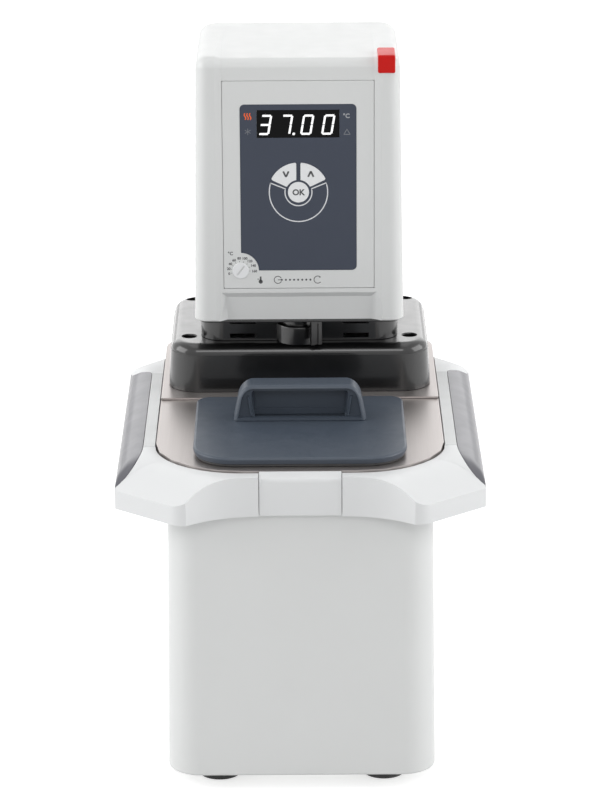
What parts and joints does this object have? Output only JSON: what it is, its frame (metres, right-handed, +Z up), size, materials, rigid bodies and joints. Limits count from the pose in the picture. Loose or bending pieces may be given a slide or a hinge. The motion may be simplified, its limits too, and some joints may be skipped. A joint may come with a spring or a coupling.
{
  "type": "circulating water bath",
  "caption": "Lidded insulated steel bath with side grips and a head on a bridge that heats, pumps and controls the liquid.",
  "frame": {"origin": "centre of the resting footprint at floor level, under the middle of the overall box", "axes": "+X to the right seen from the front, +Y to the rear, +Z up"},
  "size_m": [0.24, 0.3526, 0.4608],
  "materials": {
    "white_paint": "fine satin powder coat",
    "white_plastic": "satin moulded plastic",
    "grey_plastic": "satin moulded plastic",
    "key_plastic": "smooth satin plastic",
    "grip_plastic": "smooth dark plastic",
    "slate_plastic": "fine-grained slate plastic",
    "black_plastic": "fine-grained black plastic",
    "foil": "printed membrane foil",
    "smoked_window": "smooth smoked window",
    "red_plastic": "smooth red plastic",
    "rubber": "matt rubber",
    "stainless": "brushed stainless steel",
    "brass": "cast and turned",
    "plated_sheet": "plain sheet",
    "cast_metal": "cast, matt",
    "circuit_board": "solder mask",
    "insulation": "pressed wool"
  },
  "bodies": {
    "bath": {"casing": "white_paint", "rim_left": "white_plastic", "rim_right": "white_plastic", "rim_front_insert": "white_plastic", "rim_rear_insert": "white_plastic", "head_housing": "grey_plastic", "head_rear_cover": "grey_plastic", "control_panel": "grey_plastic", "grip_left": "grip_plastic", "grip_right": "grip_plastic", "bridge": "black_plastic", "neck": "black_plastic", "head_base": "black_plastic", "mains_inlet": "black_plastic", "interface_socket": "black_plastic", "display_module": "black_plastic", "switch_body": "black_plastic", "pump_housing": "black_plastic", "keypad_foil": "foil", "display_window": "smoked_window", "foot_front_left": "rubber", "foot_front_right": "rubber", "foot_rear_left": "rubber", "foot_rear_right": "rubber", "tank": "stainless", "rear_cover_plate": "stainless", "drain_spout": "stainless", "supply_nozzle": "stainless", "return_nozzle": "stainless", "heater_coil": "stainless", "temperature_sensor": "stainless", "safety_sensor": "stainless", "float_guide": "stainless", "bridge_screw_front_left": "stainless", "bridge_screw_front_right": "stainless", "bridge_screw_rear_left": "stainless", "bridge_screw_rear_right": "stainless", "base_pan": "plated_sheet", "motor": "cast_metal", "safety_limiter": "cast_metal", "control_board": "circuit_board", "power_board": "circuit_board", "tank_insulation": "insulation"},
    "lid": {"lid": "slate_plastic", "lid_gasket": "rubber", "lid_handle": "slate_plastic"},
    "mains_switch": {"mains_switch": "red_plastic"},
    "key_ok": {"key_ok": "key_plastic"},
    "key_up": {"key_up": "key_plastic"},
    "key_down": {"key_down": "key_plastic"},
    "safety_dial": {"safety_dial": "key_plastic"},
    "flow_lever": {"flow_lever": "black_plastic", "diverter_shaft": "stainless"},
    "pump_rotor": {"pump_shaft": "stainless", "impeller": "brass", "cooling_fan": "black_plastic"},
    "level_float": {"level_float": "white_plastic"},
    "drain_cap": {"drain_cap": "black_plastic"},
    "supply_cap": {"supply_cap": "black_plastic"},
    "return_cap": {"return_cap": "black_plastic"}
  },
  "joints": [
    {"name": "lid_lift", "type": "slide", "parent": "bath", "child": "lid", "axis": [0, 0, 1], "range_m": [0, 0.045]},
    {"name": "mains_switch_rock", "type": "hinge", "parent": "bath", "child": "mains_switch", "pos_m": [0.0588, 0.00065, 0.4566], "axis": [-1, 0, 0], "range_deg": [0, 4]},
    {"name": "key_ok_press", "type": "slide", "parent": "bath", "child": "key_ok", "axis": [0, 1, 0], "range_m": [0, 0.0005], "stiffness_N_per_m": 2000},
    {"name": "key_up_press", "type": "slide", "parent": "bath", "child": "key_up", "axis": [0, 1, 0], "range_m": [0, 0.0005], "stiffness_N_per_m": 2000},
    {"name": "key_down_press", "type": "slide", "parent": "bath", "child": "key_down", "axis": [0, 1, 0], "range_m": [0, 0.0005], "stiffness_N_per_m": 2000},
    {"name": "safety_dial_turn", "type": "hinge", "parent": "bath", "child": "safety_dial", "pos_m": [-0.0392, -0.00535, 0.3134], "axis": [0, -1, 0], "range_deg": [-57, 148]},
    {"name": "flow_lever_turn", "type": "hinge", "parent": "bath", "child": "flow_lever", "pos_m": [0, 0.04765, 0.253], "axis": [0, 0, 1], "range_deg": [-38, 0]},
    {"name": "pump_spin", "type": "hinge", "parent": "bath", "child": "pump_rotor", "pos_m": [0, 0.08165, 0.2186], "axis": [0, 0, 1], "continuous": true},
    {"name": "float_rise", "type": "slide", "parent": "bath", "child": "level_float", "axis": [0, 0, 1], "range_m": [0, 0.03]},
    {"name": "drain_cap_turn", "type": "hinge", "parent": "bath", "child": "drain_cap", "pos_m": [0, 0.16565, 0.0466], "axis": [0, 1, 0], "continuous": true},
    {"name": "supply_cap_turn", "type": "hinge", "parent": "bath", "child": "supply_cap", "pos_m": [0.032, 0.16565, 0.2356], "axis": [0, 1, 0], "continuous": true},
    {"name": "return_cap_turn", "type": "hinge", "parent": "bath", "child": "return_cap", "pos_m": [-0.032, 0.16565, 0.2356], "axis": [0, 1, 0], "continuous": true}
  ]
}
